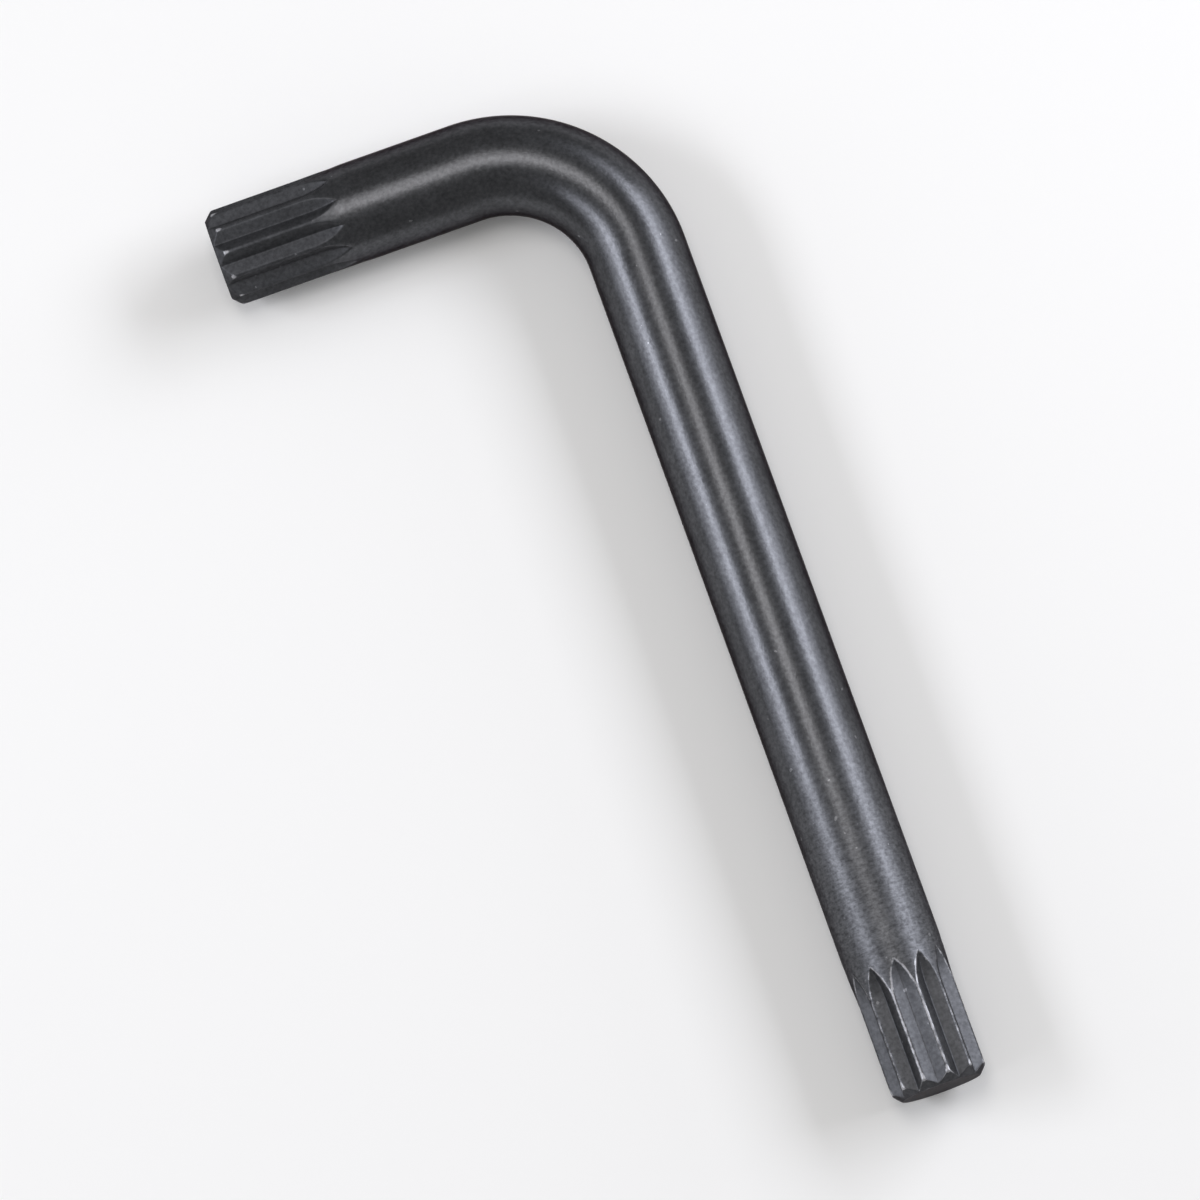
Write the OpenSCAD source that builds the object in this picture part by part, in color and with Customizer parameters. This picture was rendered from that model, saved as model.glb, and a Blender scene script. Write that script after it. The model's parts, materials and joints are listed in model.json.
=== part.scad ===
// L-shaped key for screws with a twelve-point star socket, lying flat on its side.
// One round steel bar, fluted at both ends and bent once through a right angle.
// The long arm runs along Y and the short arm along X. The key rests on Z = 0,
// and the origin is under the middle of the rectangle that the L fills.

/* [Bar] */
// Diameter of the round bar, which is also the nominal size of the star's socket
bar_d = 10; // [9:0.1:12]

/* [Arms] */
// Length of the long arm, from the outside of the short arm to the end of the tip
long_len = 107; // [90:1:140]
// Length of the short arm, from the outside of the long arm to the end of the tip
short_len = 44.5; // [42:0.5:60]
// Radius of the bend, to the middle of the bar
bend_r = 13.5; // [11:0.5:16]

/* [Drive tips] */
// Squares, turned evenly against each other, that make up the star
squares = 3; // [2:1:4]
// Length of the flutes, from the end of the bar to the points of their run-outs
flute_len = 13; // [11:0.5:15]
// Length over which the bottom of a flute rises out of the bar
run_out = 3.5; // [2.5:0.1:5]
// Width of the tip's own round that is left along each ridge
ridge_land = 0.3; // [0.1:0.05:0.5]
// Bevel round the end of the bar
end_bevel = 0.9; // [0.4:0.1:1.2]
// Play between the points of the star and its socket, on each side
socket_play = 0.05; // [0.02:0.01:0.15]
// Plain round length kept past the points of the run-outs
tip_collar = 0.5; // [0.3:0.1:1.5]
// Length over which the tip then widens to the bar
tip_taper = 1; // [0.6:0.1:2]
// Turn of the long tip about its arm, from a ridge facing straight up
long_turn = 12; // [-15:0.5:15]
// Turn of the short tip about its arm, from a ridge facing straight up
short_turn = 8; // [-15:0.5:15]

/* [Hidden] */
$fn = 96;

// The cutter's lengths are rounded to a micron, so that its straight and its disc meet exactly
function to_micron(length) = round(length * 1000) / 1000;

bar_r = bar_d / 2;
star_r = bar_r - socket_play;
taper_start = flute_len + tip_collar;
tip_len = taper_start + tip_taper;
long_plain = long_len - bar_r - bend_r - tip_len;
short_plain = short_len - bar_r - bend_r - tip_len;

// Where the middle lines of the two arms cross
corner = [short_len / 2 - bar_r, long_len / 2 - bar_r, bar_r];

// Star made of squares: each ridge is a square's corner, cut back to the tip's round
// so that a land is left on it, and each flute lies between two such corners
points = 4 * squares;
corner_half = 45;
half_pitch = 180 / points;
sharp_r = sqrt(star_r * star_r - ridge_land * ridge_land / 4) + ridge_land / (2 * tan(corner_half));
valley_r = to_micron(sharp_r * sin(corner_half) / cos(corner_half - half_pitch));
flute_half_angle = corner_half + half_pitch;
flute_depth = star_r - valley_r;

// Disc with a V-shaped rim that leaves the run-out: its rim meets the tip's surface
// run_out away from the place where it is deepest
disc_r = to_micron((run_out * run_out + flute_depth * flute_depth) / (2 * flute_depth));

// The rim is widest just above the tip's surface and stops short of the ridge's middle,
// so that the cut of one flute never reaches that of the next
ridge_keep = ridge_land / 4;
ridge_closing = cos(half_pitch) - sin(half_pitch) / tan(flute_half_angle);
rim_half_w = to_micron((valley_r * sin(half_pitch) - ridge_keep) / ridge_closing);
rim_side_h = to_micron(rim_half_w / tan(flute_half_angle));
cut_over = 0.5;
rim_h = flute_depth + cut_over;
disc_turn = acos((disc_r - rim_h) / disc_r);

steel_black = [0.2, 0.19, 0.19];

// Cross-section of the V-shaped rim, with its point at the given distance along +X.
// It opens away from the origin where opens is 1, and towards it where opens is -1
module rim_profile(point_x, opens) {
    side_x = point_x + opens * rim_side_h;
    polygon([
        [point_x, 0],
        [side_x, rim_half_w],
        [point_x + opens * rim_h, 0],
        [side_x, -rim_half_w]
    ]);
}

// One flute on the +X side of a tip along Z: a straight V from the end of the bar,
// then the disc's curve up through the tip's surface
module flute() {
    translate([0, 0, -cut_over])
        linear_extrude(height = flute_len - run_out + cut_over)
            rim_profile(valley_r, 1);
    translate([valley_r + disc_r, 0, flute_len - run_out])
        rotate([90, 0, 180])
            rotate_extrude(angle = disc_turn)
                rim_profile(disc_r, -1);
}

// Tip along Z before its flutes are cut: bevelled end at Z = 0, widening to the bar at the other
module plain_tip() {
    rotate_extrude()
        polygon([
            [0, 0],
            [star_r - end_bevel, 0],
            [star_r, end_bevel],
            [star_r, taper_start],
            [bar_r, tip_len],
            [0, tip_len]
        ]);
}

// Fluted tip along Z, with a ridge facing the given angle from +X
module drive_tip(turn) {
    rotate([0, 0, turn])
        difference() {
            plain_tip();
            for (k = [0 : points - 1])
                rotate([0, 0, (2 * k + 1) * half_pitch])
                    flute();
        }
}

// Puts what stands along Z with its end at Z = 0 onto the long arm's middle line,
// at the given distance from the end of that arm and turned so that +X looks up
module on_long_arm(from_end) {
    translate([corner.x, from_end - long_len / 2, corner.z])
        rotate([-90, -90, 0])
            children();
}

// The same for the short arm
module on_short_arm(from_end) {
    translate([from_end - short_len / 2, corner.y, corner.z])
        rotate([0, 90, 0])
            rotate([0, 0, 180])
                children();
}

// Fluted end of the long arm
module long_drive_tip() {
    color(steel_black)
        on_long_arm(0)
            drive_tip(long_turn);
}

// Plain round length of the long arm
module long_arm() {
    color(steel_black)
        on_long_arm(tip_len)
            cylinder(h = long_plain, r = bar_r);
}

// Quarter turn that joins the two arms
module bend() {
    color(steel_black)
        translate([corner.x - bend_r, corner.y - bend_r, corner.z])
            rotate_extrude(angle = 90)
                translate([bend_r, 0])
                    circle(r = bar_r);
}

// Plain round length of the short arm
module short_arm() {
    color(steel_black)
        on_short_arm(tip_len)
            cylinder(h = short_plain, r = bar_r);
}

// Fluted end of the short arm
module short_drive_tip() {
    color(steel_black)
        on_short_arm(0)
            drive_tip(short_turn);
}

long_drive_tip();
long_arm();
bend();
short_arm();
short_drive_tip();
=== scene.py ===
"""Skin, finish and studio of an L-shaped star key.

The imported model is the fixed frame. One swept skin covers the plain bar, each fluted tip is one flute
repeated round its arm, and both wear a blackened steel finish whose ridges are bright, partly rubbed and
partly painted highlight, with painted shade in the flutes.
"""

import json
import math

import bmesh
import bpy
import numpy as np
from bpy.props import FloatProperty, FloatVectorProperty, IntProperty, PointerProperty
from mathutils import Matrix, Vector


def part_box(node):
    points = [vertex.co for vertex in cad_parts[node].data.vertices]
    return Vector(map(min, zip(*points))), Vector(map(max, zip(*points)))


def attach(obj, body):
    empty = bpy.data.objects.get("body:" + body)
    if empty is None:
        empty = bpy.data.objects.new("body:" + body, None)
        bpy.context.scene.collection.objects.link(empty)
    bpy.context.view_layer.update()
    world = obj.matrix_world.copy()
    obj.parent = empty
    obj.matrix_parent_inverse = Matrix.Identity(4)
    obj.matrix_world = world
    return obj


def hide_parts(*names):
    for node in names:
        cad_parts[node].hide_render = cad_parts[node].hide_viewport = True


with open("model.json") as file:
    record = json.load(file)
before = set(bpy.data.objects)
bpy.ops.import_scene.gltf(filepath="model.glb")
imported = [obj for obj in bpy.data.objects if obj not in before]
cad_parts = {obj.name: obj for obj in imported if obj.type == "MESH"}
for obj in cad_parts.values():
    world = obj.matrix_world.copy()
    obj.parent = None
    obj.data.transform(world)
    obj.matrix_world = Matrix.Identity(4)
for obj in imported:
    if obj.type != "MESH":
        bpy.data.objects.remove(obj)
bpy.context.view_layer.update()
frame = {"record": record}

bl_info = {
    "name": "Star Key",
    "version": (1, 0, 0),
    "blender": (4, 5, 0),
    "location": "3D View > Sidebar > Star Key",
    "description": "Skin, finish and studio of an L-shaped key with a twelve-point star at each end",
    "category": "Object",
}

MM = 0.001
STEEL_FINISH = "blackened_steel_finish"
QUARTER_TURN = math.pi / 2

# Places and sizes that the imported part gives
MOUNTS = {mount["name"]: mount for mount in frame["record"]["mounts"]}
LONG_END = Vector(MOUNTS["long_drive"]["pos_m"])
SHORT_END = Vector(MOUNTS["short_drive"]["pos_m"])
BAR_RADIUS = MOUNTS["long_shank"]["dims"]["r_mm"] * MM
STAR_RADIUS = MOUNTS["long_drive"]["dims"]["r_mm"] * MM
FLUTE_LENGTH = MOUNTS["long_drive"]["dims"]["length_mm"] * MM
TIP_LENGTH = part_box("long_drive_tip")[1].y - LONG_END.y
BEND_CENTRE = Vector((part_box("short_arm")[1].x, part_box("long_arm")[1].y, LONG_END.z))

# Half the corner of each square that the star is made of
SQUARE_HALF_CORNER = math.radians(45)

# Columns of a flute's mesh: steps beside its edge, kept within shares of the flank and the land,
# then shares of what is left to the middle of the flute and to that of the ridge
EDGE_STEPS = np.array([0.025, 0.06, 0.11, 0.18]) * MM
FLANK_SHARES = np.array([0.1, 0.22, 0.36, 0.52])
BOTTOM_SHARES = np.array([0, 0.04, 0.1, 0.2, 0.38, 0.6, 0.82])
LAND_SHARES = np.array([0.2, 0.42, 0.66])
RIDGE_SHARES = np.array([0.3, 0.62, 1])
LEAST_HALF_WIDTH = 0.03 * MM

# Rows of a flute's mesh, from the middle of the end face to the middle of the inner face
END_FACE_SHARES = np.array([0.3, 0.65, 0.95])
BEVEL_SHARES = np.array([0, 0.15, 0.35, 0.6, 0.8, 0.9, 0.96, 1])
PAST_BEVEL_STEPS = np.array([0.03, 0.07, 0.13, 0.22]) * MM
STRAIGHT_SHARES = np.array([0.06, 0.16, 0.3, 0.45, 0.6, 0.75, 0.88, 1])
RUN_OUT_ROWS = 33
COLLAR_STEPS = np.array([0.08, 0.25]) * MM
INNER_FACE_SHARES = np.array([0.65, 0.3])

# Halvings of the interval in which a point on the flute is looked for
HALVINGS = 40

# Points closer than this are one where two flutes meet
SEAM_GAP = 0.001 * MM

# Stations along the bar's middle line, and the angle from which an edge counts as sharp
LONG_ARM_STATIONS = 40
BEND_STATIONS = 64
SHORT_ARM_STATIONS = 11
SHARP_ANGLE = math.radians(40)

# Wear and painted highlight on a tip: the line along a ridge, the rims of the end's bevel and the ends of
# the ridges, which are partly rubbed steel and partly painted glint, and the depth from which a point lies
# fully in a flute
LINE_REACH = 0.17 * MM
LINE_PARTING = 1.2 * MM
LINE_START = 0.9
RIM_REACH = 0.06 * MM
BEVEL_RIM_GLINT_AND_WEAR = 0.75
END_FACE_RIM_GLINT_AND_WEAR = 0.55
RIDGE_END_REACH = 0.3 * MM
RIDGE_END_SETBACK = 0.1 * MM
FLUTE_FADE = 0.25 * MM

# Line of bare steel and painted highlight: weight of the noise that breaks it, and the sums at which it
# starts and is full
BREAK_WEIGHT = 1.8
LINE_FAINT = 1.4
LINE_FULL = 2.05

# Shade of the black: the noise values that count as lowest and highest, and the shares of the colour
# that they take off and add. The marks' noise is squeezed along Y, so that they lie across the long arm
NOISE_LOW = 0.3
NOISE_HIGH = 0.7
GRAIN_DEPTH = 0.22
PATCH_GRAIN_DEPTH = 0.28
MARK_LOW = 0.35
MARK_HIGH = 0.65
MARK_DEPTH = 0.17
MARK_SQUEEZE = (0.7, 2.2, 0.7)
MOTTLE_DEPTH = 0.1
# Painted shade in the flutes: the share of the black kept where a flute is full, scaled by each tip's wear
# setting
FLUTE_SHADE = 0.88
PATCH_SHADE = 1.24

# Bare specks: share of the cells that hold one, its size in cells and how bare it is
SPECK_SHARE = 0.32
PATCH_SPECK_SHARE = 0.8
SPECK_LEAST = 0.03
SPECK_MOST = 0.13
SPECK_COVER = 0.3

# Extra roughness of the rubbed patch, spread of the roughness over the clouds, and relief of the grain
PATCH_ROUGHNESS = 0.11
CLOUD_ROUGHNESS = 0.08
GRAIN_BUMP = 0.25
GRAIN_HEIGHT = 0.05 * MM

# Studio: sizes in metres, and the two colours of the lamps
FLOOR_RADIUS = 4
FLOOR_SIDES = 96
LAMP_DISTANCE = 0.6
COOL = (0.90, 0.92, 1.0)
WARM = (1.0, 0.975, 0.965)

# Camera, fitted to the photograph
CAMERA_PLACE = Vector((-0.01020, -0.12051, 0.68536))
CAMERA_FORWARD = Vector((0.01775, 0.17886, -0.98371))
CAMERA_UP = Vector((0.33511, 0.92590, 0.17440))
CAMERA_LENS = 210.64
CAMERA_SENSOR = 36
CAMERA_NEAREST = 0.01
CAMERA_FURTHEST = 20


class StarKeySizes(bpy.types.PropertyGroup):
    """Sizes of the key's skin"""

    points: IntProperty(
        name="Points", description="Ridges round each tip",
        default=12, min=8, max=16)
    flute_length: FloatProperty(
        name="Flute length", description="From the end of the bar to the points of the run-outs",
        default=FLUTE_LENGTH, unit="LENGTH", subtype="DISTANCE", precision=5)
    run_out: FloatProperty(
        name="Run-out", description="Length over which a flute's bottom rises out of the tip",
        default=3.5 * MM, unit="LENGTH", subtype="DISTANCE", precision=5)
    ridge_land: FloatProperty(
        name="Ridge land", description="Width of the round left along each ridge",
        default=0.3 * MM, unit="LENGTH", subtype="DISTANCE", precision=5)
    end_bevel: FloatProperty(
        name="End bevel", description="Bevel round the end of each tip",
        default=0.9 * MM, unit="LENGTH", subtype="DISTANCE", precision=5)
    tip_taper: FloatProperty(
        name="Tip taper", description="Length over which a tip widens to the bar",
        default=1.0 * MM, unit="LENGTH", subtype="DISTANCE", precision=5)
    edge_round: FloatProperty(
        name="Edge rounding", description="Reach of the rounding on the ridges and bevels",
        default=0.1 * MM, unit="LENGTH", subtype="DISTANCE", precision=5)
    root_round: FloatProperty(
        name="Root rounding", description="Rounding at the bottom of each flute",
        default=0.05 * MM, unit="LENGTH", subtype="DISTANCE", precision=5)
    long_turn: FloatProperty(
        name="Long tip turn", description="Turn of the long tip from a ridge facing up",
        default=math.radians(12), unit="ROTATION", subtype="ANGLE")
    short_turn: FloatProperty(
        name="Short tip turn", description="Turn of the short tip from a ridge facing up",
        default=math.radians(8), unit="ROTATION", subtype="ANGLE")
    bar_facets: IntProperty(
        name="Bar facets", description="Sides of the bar's skin",
        default=192, min=24, max=384)


class StarKeyFinish(bpy.types.PropertyGroup):
    """Colours, wear, painted highlight, painted shade and grain of the blackened steel"""

    oxide: FloatVectorProperty(
        name="Oxide", description="Colour of the blackened surface",
        default=(0.083, 0.0845, 0.0895), min=0, max=1, size=3, subtype="COLOR")
    bare: FloatVectorProperty(
        name="Bare steel", description="Colour where the black is rubbed off",
        default=(0.45, 0.45, 0.47), min=0, max=1, size=3, subtype="COLOR")
    edge_tint: FloatVectorProperty(
        name="Grazing tint", description="How dark the surface stays at grazing angles",
        default=(0.30, 0.28, 0.28), min=0, max=1, size=3, subtype="COLOR")
    roughness: FloatProperty(
        name="Roughness", description="Satin of the blackened bar",
        default=0.31, min=0, max=1, subtype="FACTOR")
    # Each tip's wear setting also scales the painted highlight along its ridges and the painted shade in
    # its flutes
    long_wear_and_painted_light: FloatProperty(
        name="Long tip wear and painted light", description="How far the long tip's edges are rubbed bright",
        default=1.0, min=0, max=1, subtype="FACTOR")
    short_wear_and_painted_light: FloatProperty(
        name="Short tip wear and painted light", description="How far the short tip's edges are rubbed bright",
        default=0.35, min=0, max=1, subtype="FACTOR")
    long_matt: FloatProperty(
        name="Long tip mattness", description="Extra roughness of the long tip, which is rubbed",
        default=0.07, min=0, max=0.5)
    short_matt: FloatProperty(
        name="Short tip mattness", description="Extra roughness of the short tip, which is hardly rubbed",
        default=0.28, min=0, max=0.5)
    # Least share and seed vary the ridges' bright lines as a painted highlight: the seed is picked so that
    # the long tip's up-facing ridges come out brightest
    least_glint_and_wear: FloatProperty(
        name="Least glint and wear", description="Share of a tip's wear that its least rubbed ridge has",
        default=0.55, min=0, max=1, subtype="FACTOR")
    glint_and_wear_seed: IntProperty(
        name="Glint and wear seed", description="Draw that says which ridges are rubbed most",
        default=1651, min=0)
    break_size: FloatProperty(
        name="Break size", description="Size of the breaks in the bright line along a ridge",
        default=0.9 * MM, unit="LENGTH", subtype="DISTANCE", precision=5)
    grain_size: FloatProperty(
        name="Grain size", description="Size of the surface's fine grain",
        default=0.4 * MM, unit="LENGTH", subtype="DISTANCE", precision=5)
    mottle_size: FloatProperty(
        name="Mottle size", description="Size of the clouds in the black",
        default=3.2 * MM, unit="LENGTH", subtype="DISTANCE", precision=5)
    speck_spacing: FloatProperty(
        name="Speck spacing", description="Spacing of the cells that may hold a bare speck",
        default=1.5 * MM, unit="LENGTH", subtype="DISTANCE", precision=5)
    speck_raggedness: FloatProperty(
        name="Speck raggedness", description="How far a speck's outline strays",
        default=0.35 * MM, unit="LENGTH", subtype="DISTANCE", precision=5)
    patch_full: FloatProperty(
        name="Patch start", description="Distance from the long end up to which the arm is rubbed most",
        default=16 * MM, unit="LENGTH", subtype="DISTANCE", precision=5)
    patch_end: FloatProperty(
        name="Patch end", description="Distance from the long end at which the rubbed patch has faded out",
        default=42 * MM, unit="LENGTH", subtype="DISTANCE", precision=5)


class StarKeyStudio(bpy.types.PropertyGroup):
    """Floor and lamps"""

    floor: FloatVectorProperty(
        name="Floor", description="Colour of the floor",
        default=(0.94, 0.93, 0.90), min=0, max=1, size=3, subtype="COLOR")
    ambient: FloatProperty(
        name="Ambient", description="Light from all round", default=0.315, min=0, max=1)
    left: FloatProperty(
        name="Left strip", description="Brightness of the strip on the left", default=9.8, min=0)
    right: FloatProperty(
        name="Right strip", description="Brightness of the strip on the right", default=7.1, min=0)
    low: FloatProperty(
        name="Low strip", description="Brightness of the strip that the bend's inside shows",
        default=4.4, min=0)
    wing: FloatProperty(
        name="Wings", description="Brightness of the low panel beyond each strip", default=2.4, min=0)
    top: FloatProperty(
        name="Top", description="Brightness of the panel overhead", default=3.95, min=0)
    tip: FloatProperty(
        name="Tip", description="Brightness of the small panel that the long tip's half of the arm mirrors",
        default=2.1, min=0)
    back: FloatProperty(
        name="Back", description="Brightness of the panel behind the bend", default=1.4, min=0)


# Shape of one flute

class Star:
    """Radii and angles of the star that the sizes give"""

    def __init__(self, sizes):
        self.half_pitch = math.pi / sizes.points
        self.radius = STAR_RADIUS
        self.half_land = sizes.ridge_land / 2
        flat = math.sqrt(self.radius ** 2 - self.half_land ** 2)
        sharp = flat + self.half_land / math.tan(SQUARE_HALF_CORNER)
        self.valley = sharp * math.sin(SQUARE_HALF_CORNER) / math.cos(SQUARE_HALF_CORNER - self.half_pitch)
        self.flank = SQUARE_HALF_CORNER + self.half_pitch
        depth = self.radius - self.valley
        self.disc = (sizes.run_out ** 2 + depth ** 2) / (2 * depth)
        self.straight = sizes.flute_length - sizes.run_out
        self.flute_length = sizes.flute_length
        self.bevel = sizes.end_bevel
        self.taper_start = TIP_LENGTH - sizes.tip_taper
        self.edge_round = sizes.edge_round
        self.root_round = sizes.root_round

    def flute_x(self, y, z):
        """Distance outwards of the flute's surface at a sideways offset, on the section at height z"""
        rise = np.clip(z - self.straight, 0, None)
        reach = self.disc - np.sqrt(y * y + self.root_round ** 2) / math.tan(self.flank)
        return self.valley + self.disc - np.sqrt(np.clip(reach * reach - rise * rise, 0, None))

    def flute_radius(self, angle, z):
        """Radius of the flute's surface at an angle from the flute's middle, on the section at height z"""
        turn = np.tan(np.abs(angle))
        low, high = np.zeros_like(turn), np.full_like(turn, self.radius)
        for _ in range(HALVINGS):
            y = (low + high) / 2
            short = y < self.flute_x(y, z) * turn
            low, high = np.where(short, y, low), np.where(short, high, y)
        return np.hypot(self.flute_x(y, z), y)

    def edge_angle(self, z):
        """Angle at which the flute comes out through the tip's round, on the section at height z"""
        low, high = np.zeros_like(z), np.full_like(z, self.radius * math.sin(self.half_pitch))
        for _ in range(HALVINGS):
            y = (low + high) / 2
            inside = np.hypot(self.flute_x(y, z), y) < self.radius
            low, high = np.where(inside, y, low), np.where(inside, high, y)
        return np.arcsin(y / self.radius)

    def round_radius(self, z):
        """Radius of the tip's own round at height z"""
        share = np.clip((z - self.taper_start) / (TIP_LENGTH - self.taper_start), 0, 1)
        return self.radius + share * (BAR_RADIUS - self.radius)


def soft_min(a, b, reach):
    """Smaller of two values, rounded where they are within reach of each other"""
    share = np.clip(0.5 + 0.5 * (b - a) / reach, 0, 1)
    return b + (a - b) * share - reach * share * (1 - share)


def fade(distance, reach):
    """One where the distance is nothing, falling off to about a third at the reach"""
    return np.exp(-(distance / reach) ** 2)


def column_angles(edge, star):
    """Angles of the mesh columns over a flute and half a ridge on each side, closest beside the edges"""
    edge = edge[:, None]
    beside = EDGE_STEPS / star.radius
    flank = edge - np.minimum(beside, edge * FLANK_SHARES)
    bottom = flank[:, -1:] * BOTTOM_SHARES
    land = edge + np.minimum(beside[:len(LAND_SHARES)], (star.half_pitch - edge) * LAND_SHARES)
    ridge = land[:, -1:] + (star.half_pitch - land[:, -1:]) * RIDGE_SHARES
    half = np.concatenate([bottom, flank[:, ::-1], edge, land, ridge], axis=1)
    return np.concatenate([-half[:, :0:-1], half], axis=1)


def wear_and_painted_light_masks(star, angle, z, depth, edge_at, bevel_top):
    """How near each point of the mesh is to an edge or a ridge's end, where the bright marks are partly
    wear and partly painted highlight, and how far it lies in a flute
    """
    # The bright line, partly rubbed steel and partly painted highlight, runs along the middle of each
    # ridge, then parts to follow the arches of the run-outs
    parting = np.clip((z - star.straight) / LINE_PARTING, 0, 1)
    across = (np.abs(angle) - edge_at[:, None]) * star.radius
    line = fade(across - (1 - parting) * star.half_land, LINE_REACH)
    line *= (z >= LINE_START * bevel_top) & (z <= star.flute_length)
    rim = BEVEL_RIM_GLINT_AND_WEAR * fade(z - bevel_top, RIM_REACH)
    rim[0] = END_FACE_RIM_GLINT_AND_WEAR

    # Bright spot at each ridge's end: partly rubbed steel, partly a painted glint
    from_ridge = (star.half_pitch - np.abs(angle)) * star.radius
    corner = fade(np.hypot(from_ridge, z - bevel_top - RIDGE_END_SETBACK), RIDGE_END_REACH)
    flute = np.clip(depth / FLUTE_FADE, 0, 1)
    ridge = np.clip((star.flute_length - z) / (star.flute_length - star.straight), 0, 1)
    return {
        "edge": np.maximum(line, rim),
        "corner": corner,
        "flute": flute,
        "fluted": np.maximum(flute, ridge),
    }


def flute_grid(star):
    """Angles, heights and radii of one flute's mesh without its end faces, and its masks by name"""
    run_out_z = np.linspace(star.straight, star.flute_length, RUN_OUT_ROWS + 1)[1:]
    taper_z = [star.taper_start, (star.taper_start + TIP_LENGTH) / 2, TIP_LENGTH]
    upper_z = np.concatenate([run_out_z, star.flute_length + COLLAR_STEPS, taper_z])
    even_rows = len(BEVEL_SHARES) + len(PAST_BEVEL_STEPS) + len(STRAIGHT_SHARES)
    section_z = np.concatenate([np.zeros(even_rows), upper_z])
    edge_at = np.maximum(star.edge_angle(section_z), LEAST_HALF_WIDTH / star.radius)
    angle = column_angles(edge_at, star)

    # The bevel climbs further up a ridge than up a flute, and the rows of the straight part follow it
    end_radius = star.radius - star.bevel
    bevel_top = np.minimum(star.radius, star.flute_radius(angle[:1], np.zeros_like(angle[:1]))) - end_radius
    past_bevel = bevel_top + PAST_BEVEL_STEPS[:, None]
    straight = past_bevel[-1] + STRAIGHT_SHARES[:, None] * (star.straight - past_bevel[-1])
    upper = np.repeat(upper_z[:, None], angle.shape[1], axis=1)
    z = np.concatenate([BEVEL_SHARES[:, None] * bevel_top, past_bevel, straight, upper])

    outside = star.round_radius(z)
    radius = soft_min(outside, star.flute_radius(angle, z), star.edge_round)
    radius = soft_min(radius, end_radius + z, star.edge_round)
    return angle, z, radius, wear_and_painted_light_masks(star, angle, z, outside - radius, edge_at, bevel_top)


def flute_mesh(star, wear, matt):
    """One flute with its half ridges, its share of the end face and its share of the inner face"""
    angle, z, radius, masks = flute_grid(star)
    # The edge and corner masks are wear with a painted highlight; the flute mask times the wear is painted
    # shade in the flutes
    attributes = {
        "edge": wear * masks["edge"],
        "corner": masks["corner"],
        "flute": masks["flute"],
        "painted_flute_shade": wear * masks["flute"],
        "matt": matt * masks["fluted"],
    }
    face_rows = ((len(END_FACE_SHARES), len(INNER_FACE_SHARES)), (0, 0))
    angle = np.pad(angle, face_rows, mode="edge")
    z = np.pad(z, face_rows, mode="edge")
    end_face, inner_face = END_FACE_SHARES[:, None] * radius[:1], INNER_FACE_SHARES[:, None] * radius[-1:]
    radius = np.concatenate([end_face, radius, inner_face])

    points = np.stack([radius * np.cos(angle), radius * np.sin(angle), z], axis=-1).reshape(-1, 3)
    points = np.concatenate([points, [[0, 0, 0], [0, 0, TIP_LENGTH]]])
    index = np.arange(angle.size).reshape(angle.shape)
    quads = np.stack([index[:-1, :-1], index[:-1, 1:], index[1:, 1:], index[1:, :-1]], axis=-1)
    polygons = quads.reshape(-1, 4).tolist()
    end_middle, inner_middle = angle.size, angle.size + 1
    polygons += [[end_middle, int(b), int(a)] for a, b in zip(index[0, :-1], index[0, 1:])]
    polygons += [[inner_middle, int(a), int(b)] for a, b in zip(index[-1, :-1], index[-1, 1:])]

    mesh = bpy.data.meshes.new("one_flute")
    mesh.from_pydata(points.tolist(), [], polygons)
    for name, mask in attributes.items():
        values = np.append(np.pad(mask, face_rows), [0, 0])
        mesh.attributes.new(name, "FLOAT", "POINT").data.foreach_set("value", values.astype(np.float32))
    return mesh


# Node trees

def add_node(tree, kind, values=None, **settings):
    """Adds a node, sets its properties and then the values of its inputs"""
    node = tree.nodes.new(kind)
    for name, setting in settings.items():
        setattr(node, name, setting)
    for entry, value in (values or {}).items():
        node.inputs[entry].default_value = value
    return node


def add_math(tree, operation, values=None, **settings):
    """Adds a Math node"""
    return add_node(tree, "ShaderNodeMath", values, operation=operation, **settings)


def add_range(tree, low=0, high=1, start=0, end=1, **settings):
    """Adds a Map Range node that turns low into start and high into end"""
    values = {"From Min": low, "From Max": high, "To Min": start, "To Max": end}
    return add_node(tree, "ShaderNodeMapRange", values, **settings)


def join(tree, *links):
    """Links node sockets in pairs: each link is (from node, output, to node, input)"""
    for source, output, target, entry in links:
        tree.links.new(source.outputs[output], target.inputs[entry])


def new_geometry_tree(name, sockets):
    """Geometry tree with one geometry in, one geometry out and the named inputs"""
    tree = bpy.data.node_groups.new(name, "GeometryNodeTree")
    tree.is_modifier = True
    tree.interface.new_socket(name="Geometry", in_out="INPUT", socket_type="NodeSocketGeometry")
    for socket, kind in sockets:
        tree.interface.new_socket(name=socket, in_out="INPUT", socket_type=kind)
    tree.interface.new_socket(name="Geometry", in_out="OUTPUT", socket_type="NodeSocketGeometry")
    return tree, add_node(tree, "NodeGroupInput"), add_node(tree, "NodeGroupOutput")


def run_tree(source, tree, values):
    """Gives the object the tree with its inputs set, and returns the plain mesh that it makes"""
    modifier = source.modifiers.new(tree.name, "NODES")
    modifier.node_group = tree
    inputs = [item for item in tree.interface.items_tree if item.in_out == "INPUT"]
    identifiers = {item.name: item.identifier for item in inputs}
    for name, value in values.items():
        modifier[identifiers[name]] = value
    bpy.context.view_layer.update()
    evaluated = source.evaluated_get(bpy.context.evaluated_depsgraph_get())
    return bpy.data.meshes.new_from_object(evaluated)


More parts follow.
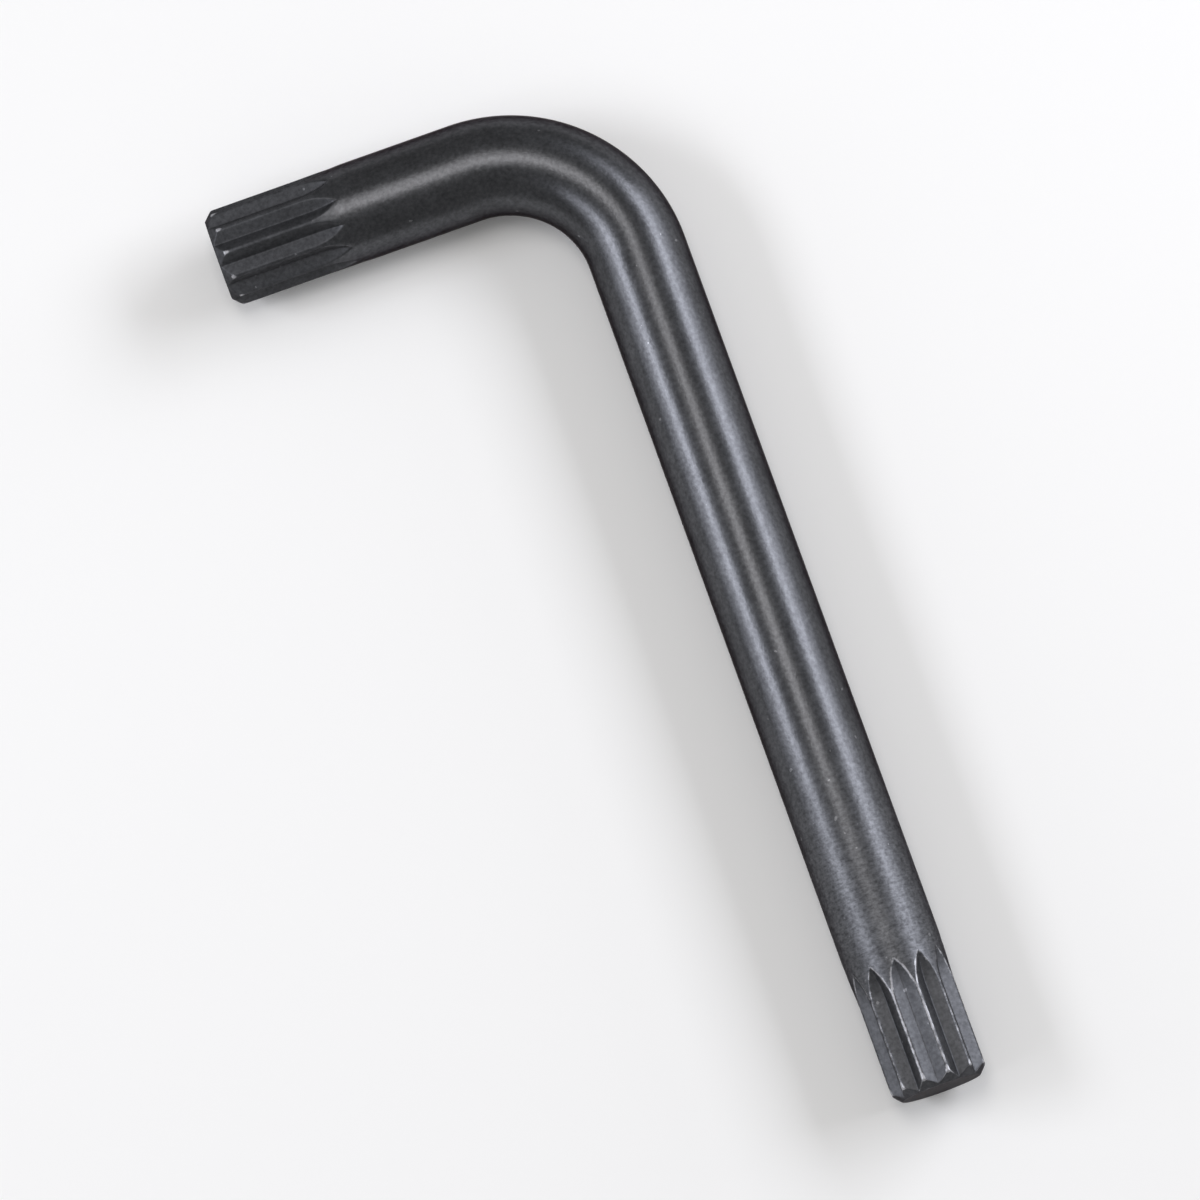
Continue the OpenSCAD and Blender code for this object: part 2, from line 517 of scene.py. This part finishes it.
def ridge_glint_and_wear(tree, entry, pitch):
    """Scales each ridge's bright line, from the middle of one flute to that of the next, to its own degree:
    a painted highlight over the wear, with the seed picked so that the long tip's up-facing ridges are
    brightest
    """
    position = add_node(tree, "GeometryNodeInputPosition")
    axes = add_node(tree, "ShaderNodeSeparateXYZ")
    around = add_math(tree, "ARCTAN2")
    from_first = add_math(tree, "SUBTRACT")
    pitches = add_math(tree, "DIVIDE")
    passed = add_math(tree, "FLOOR")
    ridge = add_math(tree, "FLOORED_MODULO")
    share = add_node(tree, "FunctionNodeRandomValue", data_type="FLOAT")
    edge = add_node(tree, "GeometryNodeInputNamedAttribute", {"Name": "edge"}, data_type="FLOAT")
    rubbed = add_math(tree, "MULTIPLY")
    glinting_and_worn = add_node(
        tree, "GeometryNodeStoreNamedAttribute", {"Name": "edge"}, data_type="FLOAT", domain="POINT")
    join(
        tree,
        (position, "Position", axes, "Vector"),
        (axes, "Y", around, 0),
        (axes, "X", around, 1),
        (around, "Value", from_first, 0),
        (entry, "First angle", from_first, 1),
        (from_first, "Value", pitches, 0),
        (pitch, "Value", pitches, 1),
        (pitches, "Value", passed, 0),
        (passed, "Value", ridge, 0),
        (entry, "Flutes", ridge, 1),
        (ridge, "Value", share, "ID"),
        (entry, "Least glint and wear", share, "Min"),
        (entry, "Glint and wear seed", share, "Seed"),
        (edge, "Attribute", rubbed, 0),
        (share, "Value", rubbed, 1),
        (rubbed, "Value", glinting_and_worn, "Value"),
    )
    return glinting_and_worn


def flute_ring_tree():
    """Repeats one flute round the arm and sets the ring on the arm's middle line"""
    tree, entry, result = new_geometry_tree("flute_ring", [
        ("Flutes", "NodeSocketInt"),
        ("First angle", "NodeSocketFloat"),
        ("Lie", "NodeSocketVector"),
        ("Place", "NodeSocketVector"),
        ("Least glint and wear", "NodeSocketFloat"),
        ("Glint and wear seed", "NodeSocketInt"),
        ("Finish", "NodeSocketMaterial"),
    ])
    places = add_node(tree, "GeometryNodePoints")
    index = add_node(tree, "GeometryNodeInputIndex")
    pitch = add_math(tree, "DIVIDE", {0: 2 * math.pi})
    turn = add_math(tree, "MULTIPLY_ADD")
    about_arm = add_node(tree, "ShaderNodeCombineXYZ")
    spin = add_node(tree, "FunctionNodeEulerToRotation")
    copies = add_node(tree, "GeometryNodeInstanceOnPoints")
    real = add_node(tree, "GeometryNodeRealizeInstances")
    seams = add_node(tree, "GeometryNodeMergeByDistance", {"Distance": SEAM_GAP})
    glinting_and_worn = ridge_glint_and_wear(tree, entry, pitch)
    lie = add_node(tree, "FunctionNodeEulerToRotation")
    place = add_node(tree, "GeometryNodeTransform")
    smooth = add_node(tree, "GeometryNodeSetShadeSmooth")
    finish = add_node(tree, "GeometryNodeSetMaterial")
    join(
        tree,
        (entry, "Flutes", places, "Count"),
        (entry, "Flutes", pitch, 1),
        (index, "Index", turn, 0),
        (pitch, "Value", turn, 1),
        (entry, "First angle", turn, 2),
        (turn, "Value", about_arm, "Z"),
        (about_arm, "Vector", spin, "Euler"),
        (places, 0, copies, "Points"),
        (entry, "Geometry", copies, "Instance"),
        (spin, "Rotation", copies, "Rotation"),
        (copies, "Instances", real, "Geometry"),
        (real, "Geometry", seams, "Geometry"),
        (seams, "Geometry", glinting_and_worn, "Geometry"),
        (glinting_and_worn, "Geometry", place, "Geometry"),
        (entry, "Lie", lie, "Euler"),
        (lie, "Rotation", place, "Rotation"),
        (entry, "Place", place, "Translation"),
        (place, "Geometry", smooth, "Geometry"),
        (smooth, "Geometry", finish, "Geometry"),
        (entry, "Finish", finish, "Material"),
        (finish, "Geometry", result, "Geometry"),
    )
    return tree


def bent_bar_tree():
    """Sweeps a round along the key's middle line"""
    tree, entry, result = new_geometry_tree("bent_bar", [
        ("Radius", "NodeSocketFloat"),
        ("Facets", "NodeSocketInt"),
        ("Finish", "NodeSocketMaterial"),
    ])
    section = add_node(tree, "GeometryNodeCurvePrimitiveCircle", mode="RADIUS")
    sweep = add_node(tree, "GeometryNodeCurveToMesh", {"Fill Caps": True})
    real = add_node(tree, "GeometryNodeRealizeInstances")
    smooth = add_node(tree, "GeometryNodeSetShadeSmooth")
    finish = add_node(tree, "GeometryNodeSetMaterial")
    join(
        tree,
        (entry, "Facets", section, "Resolution"),
        (entry, "Radius", section, "Radius"),
        (entry, "Geometry", sweep, "Curve"),
        (section, "Curve", sweep, "Profile Curve"),
        (sweep, "Mesh", real, "Geometry"),
        (real, "Geometry", smooth, "Geometry"),
        (smooth, "Geometry", finish, "Geometry"),
        (entry, "Finish", finish, "Material"),
        (finish, "Geometry", result, "Geometry"),
    )
    return tree


# Finish of the steel

def new_shader_group(name, inputs, outputs):
    """Shader group that takes a vector and the named numbers, and puts out the named numbers"""
    group = bpy.data.node_groups.new(name, "ShaderNodeTree")
    group.interface.new_socket(name="Vector", in_out="INPUT", socket_type="NodeSocketVector")
    for socket in inputs:
        group.interface.new_socket(name=socket, in_out="INPUT", socket_type="NodeSocketFloat")
    for socket in outputs:
        group.interface.new_socket(name=socket, in_out="OUTPUT", socket_type="NodeSocketFloat")
    return group, add_node(group, "NodeGroupInput"), add_node(group, "NodeGroupOutput")


def per_size(tree, entry, socket):
    """Node that turns a size into the number of repeats per metre"""
    repeats = add_math(tree, "DIVIDE", {0: 1})
    join(tree, (entry, socket, repeats, 1))
    return repeats


def oxide_grain_group():
    """Fine grain and soft clouds of the blackened surface, and short marks across the long arm"""
    group, entry, result = new_shader_group(
        "oxide_grain", ["Grain size", "Mottle size"], ["Grain", "Mottle", "Roll marks"])
    fine = per_size(group, entry, "Grain size")
    coarse = per_size(group, entry, "Mottle size")
    grain = add_node(group, "ShaderNodeTexNoise", {"Detail": 2.5, "Roughness": 0.6})
    mottle = add_node(group, "ShaderNodeTexNoise", {"Detail": 4, "Roughness": 0.55})
    squeezed = add_node(group, "ShaderNodeVectorMath", {1: MARK_SQUEEZE}, operation="MULTIPLY")
    marks = add_node(group, "ShaderNodeTexNoise", {"Detail": 1.5})
    join(
        group,
        (entry, "Vector", grain, "Vector"),
        (fine, "Value", grain, "Scale"),
        (grain, "Fac", result, "Grain"),
        (entry, "Vector", mottle, "Vector"),
        (coarse, "Value", mottle, "Scale"),
        (mottle, "Fac", result, "Mottle"),
        (entry, "Vector", squeezed, 0),
        (squeezed, "Vector", marks, "Vector"),
        (fine, "Value", marks, "Scale"),
        (marks, "Fac", result, "Roll marks"),
    )
    return group


def bare_specks_group():
    """Scattered ragged pinpricks where the black has come off"""
    group, entry, result = new_shader_group("bare_specks", ["Spacing", "Share", "Raggedness"], ["Speck"])
    outline = add_node(group, "ShaderNodeTexNoise", {"Detail": 1})
    shift = add_node(group, "ShaderNodeVectorMath", operation="SCALE")
    ragged = add_node(group, "ShaderNodeVectorMath", operation="ADD")
    cells = add_node(group, "ShaderNodeTexVoronoi")
    chance = add_node(group, "ShaderNodeSeparateColor")
    chosen = add_math(group, "LESS_THAN")
    size = add_range(group, start=SPECK_LEAST, end=SPECK_MOST)
    inside = add_math(group, "LESS_THAN")
    speck = add_math(group, "MULTIPLY")
    join(
        group,
        (entry, "Vector", outline, "Vector"),
        (per_size(group, entry, "Raggedness"), "Value", outline, "Scale"),
        (outline, "Color", shift, 0),
        (entry, "Raggedness", shift, "Scale"),
        (entry, "Vector", ragged, 0),
        (shift, "Vector", ragged, 1),
        (ragged, "Vector", cells, "Vector"),
        (per_size(group, entry, "Spacing"), "Value", cells, "Scale"),
        (cells, "Color", chance, "Color"),
        (chance, "Red", chosen, 0),
        (entry, "Share", chosen, 1),
        (chance, "Green", size, "Value"),
        (cells, "Distance", inside, 0),
        (size, "Result", inside, 1),
        (chosen, "Value", speck, 0),
        (inside, "Value", speck, 1),
        (speck, "Value", result, "Speck"),
    )
    return group


def edge_glint_and_wear_group():
    """Broken line of bare steel along the edges, fuller where edges meet: partly wear, partly painted
    highlight
    """
    group, entry, result = new_shader_group("edge_glint_and_wear", ["Edge", "Corner", "Break size"], ["Bare"])
    breaks = add_node(group, "ShaderNodeTexNoise", {"Detail": 3, "Roughness": 0.7})
    along = add_math(group, "MULTIPLY_ADD", {1: BREAK_WEIGHT})
    rubbed = add_math(group, "ADD")
    line = add_range(group, low=LINE_FAINT, high=LINE_FULL, interpolation_type="SMOOTHSTEP")
    join(
        group,
        (entry, "Vector", breaks, "Vector"),
        (per_size(group, entry, "Break size"), "Value", breaks, "Scale"),
        (breaks, "Fac", along, 0),
        (entry, "Edge", along, 2),
        (along, "Value", rubbed, 0),
        (entry, "Corner", rubbed, 1),
        (rubbed, "Value", line, "Value"),
        (line, "Result", result, "Bare"),
    )
    return group


def rubbed_patch(tree, finish, place):
    """How far the long arm is rubbed: most by the tip, then less and less up the arm"""
    axes = add_node(tree, "ShaderNodeSeparateXYZ")
    patch = add_range(
        tree, low=LONG_END.y + finish.patch_end, high=LONG_END.y + finish.patch_full,
        interpolation_type="SMOOTHSTEP")
    join(tree, (place, "Object", axes, "Vector"), (axes, "Y", patch, "Value"))
    return patch


def black_colour(tree, finish, grain, patch):
    """Colour of the black: grained and clouded, with painted shade in the flutes, lighter and marked on the
    patch
    """
    flute = add_node(tree, "ShaderNodeAttribute", attribute_name="flute")
    painted_flute_shade = add_node(tree, "ShaderNodeAttribute", attribute_name="painted_flute_shade")

    # Coarser grain and roll marks keep to the round of the patch
    rubbed_round = add_math(tree, "SUBTRACT", use_clamp=True)
    grain_shade = add_range(tree, low=NOISE_LOW, high=NOISE_HIGH, start=-1, end=1)
    grain_depth = add_range(tree, start=GRAIN_DEPTH, end=PATCH_GRAIN_DEPTH)
    grained = add_math(tree, "MULTIPLY_ADD", {2: 1})
    mark_shade = add_range(tree, low=MARK_LOW, high=MARK_HIGH, start=-MARK_DEPTH, end=MARK_DEPTH)
    marked = add_math(tree, "MULTIPLY_ADD")
    mottle_shade = add_range(
        tree, low=NOISE_LOW, high=NOISE_HIGH, start=1 - MOTTLE_DEPTH, end=1 + MOTTLE_DEPTH)
    clouded = add_math(tree, "MULTIPLY")
    # Painted shade in the flutes, deepest where the flute mask times the tip's wear is full
    flute_shade = add_range(tree, start=1, end=FLUTE_SHADE)
    darker = add_math(tree, "MULTIPLY")
    patch_shade = add_range(tree, start=1, end=PATCH_SHADE)
    lighter = add_math(tree, "MULTIPLY")
    black = add_node(tree, "ShaderNodeVectorMath", {0: finish.oxide}, operation="SCALE")
    join(
        tree,
        (patch, "Result", rubbed_round, 0),
        (flute, "Fac", rubbed_round, 1),
        (rubbed_round, "Value", grain_depth, "Value"),
        (grain, "Grain", grain_shade, "Value"),
        (grain_shade, "Result", grained, 0),
        (grain_depth, "Result", grained, 1),
        (grain, "Roll marks", mark_shade, "Value"),
        (mark_shade, "Result", marked, 0),
        (rubbed_round, "Value", marked, 1),
        (grained, "Value", marked, 2),
        (grain, "Mottle", mottle_shade, "Value"),
        (marked, "Value", clouded, 0),
        (mottle_shade, "Result", clouded, 1),
        (painted_flute_shade, "Fac", flute_shade, "Value"),
        (clouded, "Value", darker, 0),
        (flute_shade, "Result", darker, 1),
        (patch, "Result", patch_shade, "Value"),
        (darker, "Value", lighter, 0),
        (patch_shade, "Result", lighter, 1),
        (lighter, "Value", black, "Scale"),
    )
    return black


def bare_steel_and_glint(tree, finish, place, patch):
    """Where the steel shows bare: along the edges, partly wear and partly painted highlight, and faintly in
    specks that are denser on the patch
    """
    edge = add_node(tree, "ShaderNodeAttribute", attribute_name="edge")
    corner = add_node(tree, "ShaderNodeAttribute", attribute_name="corner")
    wear = add_node(
        tree, "ShaderNodeGroup", {"Break size": finish.break_size}, node_tree=edge_glint_and_wear_group())
    share = add_range(tree, start=SPECK_SHARE, end=PATCH_SPECK_SHARE)
    specks = add_node(
        tree, "ShaderNodeGroup",
        {"Spacing": finish.speck_spacing, "Raggedness": finish.speck_raggedness},
        node_tree=bare_specks_group())
    faint = add_math(tree, "MULTIPLY", {1: SPECK_COVER})
    bare = add_math(tree, "MAXIMUM")
    join(
        tree,
        (place, "Object", wear, "Vector"),
        (edge, "Fac", wear, "Edge"),
        (corner, "Fac", wear, "Corner"),
        (place, "Object", specks, "Vector"),
        (patch, "Result", share, "Value"),
        (share, "Result", specks, "Share"),
        (specks, "Speck", faint, 0),
        (wear, "Bare", bare, 0),
        (faint, "Value", bare, 1),
    )
    return bare


def satin_roughness(tree, finish, grain, patch):
    """Roughness of the satin: more on the patch and on the tips, and uneven over the clouds"""
    matt = add_node(tree, "ShaderNodeAttribute", attribute_name="matt")
    satin = add_range(tree, start=finish.roughness, end=finish.roughness + PATCH_ROUGHNESS)
    tip_satin = add_math(tree, "ADD")
    uneven = add_math(tree, "MULTIPLY_ADD", {1: CLOUD_ROUGHNESS})
    level = add_math(tree, "SUBTRACT", {1: CLOUD_ROUGHNESS / 2})
    join(
        tree,
        (patch, "Result", satin, "Value"),
        (matt, "Fac", tip_satin, 0),
        (satin, "Result", tip_satin, 1),
        (grain, "Mottle", uneven, 0),
        (tip_satin, "Value", uneven, 2),
        (uneven, "Value", level, 0),
    )
    return level


def blackened_steel(finish):
    """Satin black steel with fine grain, faint clouds, bare specks, ridges bright from wear and painted
    highlight, painted shade in the flutes and a rubbed patch
    """
    material = bpy.data.materials.new(STEEL_FINISH)
    material.use_nodes = True
    tree = material.node_tree
    tree.nodes.clear()
    surface = add_node(tree, "ShaderNodeOutputMaterial")
    steel = add_node(
        tree, "ShaderNodeBsdfPrincipled", {"Metallic": 1, "Specular Tint": (*finish.edge_tint, 1)})
    place = add_node(tree, "ShaderNodeTexCoord")
    grain = add_node(
        tree, "ShaderNodeGroup",
        {"Grain size": finish.grain_size, "Mottle size": finish.mottle_size},
        node_tree=oxide_grain_group())
    patch = rubbed_patch(tree, finish, place)
    black = black_colour(tree, finish, grain, patch)
    bare = bare_steel_and_glint(tree, finish, place, patch)
    colour = add_node(tree, "ShaderNodeMix", {"B": (*finish.bare, 1)}, data_type="RGBA")
    roughness = satin_roughness(tree, finish, grain, patch)
    bump = add_node(tree, "ShaderNodeBump", {"Strength": GRAIN_BUMP, "Distance": GRAIN_HEIGHT})
    join(
        tree,
        (place, "Object", grain, "Vector"),
        (bare, "Value", colour, "Factor"),
        (black, "Vector", colour, "A"),
        (colour, "Result", steel, "Base Color"),
        (roughness, "Value", steel, "Roughness"),
        (grain, "Grain", bump, "Height"),
        (bump, "Normal", steel, "Normal"),
        (steel, "BSDF", surface, "Surface"),
    )
    return material


def steel_finish(context):
    """The one finish that all of the key's steel shares"""
    return bpy.data.materials.get(STEEL_FINISH) or blackened_steel(context.scene.star_key_finish)


# Pieces

def dress(mesh, name, *nodes):
    """Makes a piece of the key from a plain mesh and lets it stand for the named nodes of the frame"""
    shell = bmesh.new()
    shell.from_mesh(mesh)
    bmesh.ops.recalc_face_normals(shell, faces=shell.faces)
    shell.to_mesh(mesh)
    shell.free()
    mesh.set_sharp_from_angle(angle=SHARP_ANGLE)
    mesh.name = name
    piece = bpy.data.objects.new(name, mesh)
    bpy.context.scene.collection.objects.link(piece)
    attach(piece, "root")
    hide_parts(*nodes)


def middle_line():
    """Points along the middle of the plain bar, from the long tip round the bend to the short tip"""
    bend_radius = LONG_END.x - BEND_CENTRE.x
    long_y = np.linspace(LONG_END.y + TIP_LENGTH, BEND_CENTRE.y, LONG_ARM_STATIONS)
    turns = np.linspace(0, QUARTER_TURN, BEND_STATIONS + 1)[1:]
    short_x = np.linspace(BEND_CENTRE.x, SHORT_END.x + TIP_LENGTH, SHORT_ARM_STATIONS + 1)[1:]
    points = [(LONG_END.x, y, LONG_END.z) for y in long_y]
    for turn in turns:
        x = BEND_CENTRE.x + bend_radius * math.cos(turn)
        y = BEND_CENTRE.y + bend_radius * math.sin(turn)
        points.append((x, y, LONG_END.z))
    points += [(x, SHORT_END.y, SHORT_END.z) for x in short_x]
    return points


class STARKEY_OT_shank(bpy.types.Operator):
    """Sweeps the plain bar of both arms and the bend in one unbroken skin"""

    bl_idname = "star_key.shank"
    bl_label = "Make Shank"

    def execute(self, context):
        path = bpy.data.curves.new("shank_path", "CURVE")
        path.dimensions = "3D"
        points = middle_line()
        spline = path.splines.new("POLY")
        spline.points.add(len(points) - 1)
        for point, place in zip(spline.points, points):
            point.co = (*place, 1)
        source = bpy.data.objects.new("shank_path", path)
        context.scene.collection.objects.link(source)
        mesh = run_tree(source, bent_bar_tree(), {
            "Radius": BAR_RADIUS,
            "Facets": context.scene.star_key_sizes.bar_facets,
            "Finish": steel_finish(context),
        })
        bpy.data.objects.remove(source)
        dress(mesh, "shank_skin", "long_arm", "bend", "short_arm")
        return {"FINISHED"}


class STARKEY_OT_drive_tips(bpy.types.Operator):
    """Repeats one flute round each arm for the two fluted tips"""

    bl_idname = "star_key.drive_tips"
    bl_label = "Make Drive Tips"

    def execute(self, context):
        sizes, finish = context.scene.star_key_sizes, context.scene.star_key_finish
        star = Star(sizes)
        tree = flute_ring_tree()
        tips = (
            ("long_tip_skin", "long_drive_tip", LONG_END, (-QUARTER_TURN, -QUARTER_TURN, 0),
             sizes.long_turn, finish.long_wear_and_painted_light, finish.long_matt),
            ("short_tip_skin", "short_drive_tip", SHORT_END, (0, QUARTER_TURN, 0),
             sizes.short_turn + math.pi, finish.short_wear_and_painted_light, finish.short_matt),
        )
        for name, node, end, lie, turn, wear, matt in tips:
            source = bpy.data.objects.new("one_flute", flute_mesh(star, wear, matt))
            context.scene.collection.objects.link(source)
            mesh = run_tree(source, tree, {
                "Flutes": sizes.points,
                "First angle": turn + star.half_pitch,
                "Lie": lie,
                "Place": tuple(end),
                "Least glint and wear": finish.least_glint_and_wear,
                "Glint and wear seed": finish.glint_and_wear_seed,
                "Finish": steel_finish(context),
            })
            bpy.data.objects.remove(source)
            dress(mesh, name, node)
        return {"FINISHED"}


# Studio

def pale_world(studio):
    """Even white surroundings that light the key softly"""
    world = bpy.data.worlds.new("pale_world")
    world.use_nodes = True
    light = world.node_tree.nodes["Background"]
    light.inputs["Color"].default_value = (1, 1, 1, 1)
    light.inputs["Strength"].default_value = studio.ambient
    return world


def pale_floor(studio):
    """Plain floor that the key lies on"""
    mesh = bpy.data.meshes.new("floor")
    shape = bmesh.new()
    bmesh.ops.create_circle(shape, cap_ends=True, radius=FLOOR_RADIUS, segments=FLOOR_SIDES)
    shape.to_mesh(mesh)
    shape.free()
    material = bpy.data.materials.new("pale_floor")
    material.use_nodes = True
    paint = material.node_tree.nodes["Principled BSDF"]
    paint.inputs["Base Color"].default_value = (*studio.floor, 1)
    paint.inputs["Roughness"].default_value = 1
    paint.inputs["Specular IOR Level"].default_value = 0
    mesh.materials.append(material)
    floor = bpy.data.objects.new("floor", mesh)
    bpy.context.scene.collection.objects.link(floor)


def aimed(place, target, along):
    """At place, with local -Z looking at the target and local Y as near as can be to along"""
    back = (place - target).normalized()
    side = along.cross(back).normalized()
    turned = Matrix((side, back.cross(side), back)).transposed().to_4x4()
    return Matrix.Translation(place) @ turned


def soft_box(name, lean, along, size, level, colour):
    """Panel lamp that leans the given degrees from overhead towards +X, shifted along the long arm"""
    lamp = bpy.data.lights.new(name, "AREA")
    lamp.shape = "RECTANGLE"
    lamp.size, lamp.size_y = size
    lamp.energy = level * math.pi * size[0] * size[1]
    lamp.color = colour
    arm = Vector((LONG_END.x, 0, LONG_END.z))
    tilt = math.radians(lean)
    place = arm + Vector((LAMP_DISTANCE * math.sin(tilt), along, LAMP_DISTANCE * math.cos(tilt)))
    holder = bpy.data.objects.new(name, lamp)
    holder.matrix_world = aimed(place, arm, Vector((0, 1, 0)))
    holder.visible_camera = False
    bpy.context.scene.collection.objects.link(holder)


def panel_lamps(studio):
    """Strips that make the long arm's bright bands, wings beyond them, and panels overhead and behind"""
    soft_box("left_strip", lean=-51, along=0.155, size=(0.14, 0.24), level=studio.left, colour=COOL)
    soft_box("left_wing", lean=-69, along=0.125, size=(0.19, 0.17), level=studio.wing, colour=COOL)
    soft_box("low_strip", lean=-49, along=-0.065, size=(0.13, 0.20), level=studio.low, colour=COOL)
    soft_box("right_strip", lean=54.5, along=0.11, size=(0.195, 0.50), level=studio.right, colour=COOL)
    soft_box("right_wing", lean=75, along=0.15, size=(0.17, 0.42), level=studio.wing, colour=COOL)
    soft_box("top_panel", lean=-3, along=0.12, size=(0.15, 0.26), level=studio.top, colour=WARM)
    soft_box("tip_panel", lean=-3, along=0.05, size=(0.13, 0.14), level=studio.tip, colour=WARM)
    soft_box("back_panel", lean=50, along=0.48, size=(0.20, 0.22), level=studio.back, colour=COOL)


def photo_camera():
    """Camera that sees the key as the photograph does"""
    view = bpy.data.cameras.new("camera")
    view.sensor_width = CAMERA_SENSOR
    view.lens = CAMERA_LENS
    view.clip_start = CAMERA_NEAREST
    view.clip_end = CAMERA_FURTHEST
    camera = bpy.data.objects.new("camera", view)
    camera.matrix_world = aimed(CAMERA_PLACE, CAMERA_PLACE + CAMERA_FORWARD, CAMERA_UP)
    bpy.context.scene.collection.objects.link(camera)
    return camera


class STARKEY_OT_stage(bpy.types.Operator):
    """Sets up the pale floor, the lamps and the camera"""

    bl_idname = "star_key.stage"
    bl_label = "Make Stage"

    def execute(self, context):
        studio = context.scene.star_key_studio
        pale_floor(studio)
        context.scene.world = pale_world(studio)
        panel_lamps(studio)
        context.scene.camera = photo_camera()
        context.scene.view_settings.view_transform = "Standard"
        return {"FINISHED"}


class STARKEY_PT_panel(bpy.types.Panel):
    """Lists the key's settings and makers"""

    bl_idname = "STARKEY_PT_panel"
    bl_label = "Star Key"
    bl_space_type = "VIEW_3D"
    bl_region_type = "UI"
    bl_category = "Star Key"

    def draw(self, context):
        layout, scene = self.layout, context.scene
        for group in (scene.star_key_sizes, scene.star_key_finish, scene.star_key_studio):
            box = layout.box()
            for name in group.__annotations__:
                box.prop(group, name)
        for operator in (STARKEY_OT_shank, STARKEY_OT_drive_tips, STARKEY_OT_stage):
            layout.operator(operator.bl_idname)


CLASSES = (
    StarKeySizes,
    StarKeyFinish,
    StarKeyStudio,
    STARKEY_OT_shank,
    STARKEY_OT_drive_tips,
    STARKEY_OT_stage,
    STARKEY_PT_panel,
)


def register():
    """Registers the classes and hangs their settings on the scene"""
    for cls in CLASSES:
        bpy.utils.register_class(cls)
    bpy.types.Scene.star_key_sizes = PointerProperty(type=StarKeySizes)
    bpy.types.Scene.star_key_finish = PointerProperty(type=StarKeyFinish)
    bpy.types.Scene.star_key_studio = PointerProperty(type=StarKeyStudio)


def unregister():
    """Takes the settings off the scene and unregisters the classes"""
    del bpy.types.Scene.star_key_studio
    del bpy.types.Scene.star_key_finish
    del bpy.types.Scene.star_key_sizes
    for cls in reversed(CLASSES):
        bpy.utils.unregister_class(cls)


def main():
    """Makes the pieces and the stage"""
    register()
    bpy.ops.star_key.shank()
    bpy.ops.star_key.drive_tips()
    bpy.ops.star_key.stage()


if __name__ == "__main__":
    main()
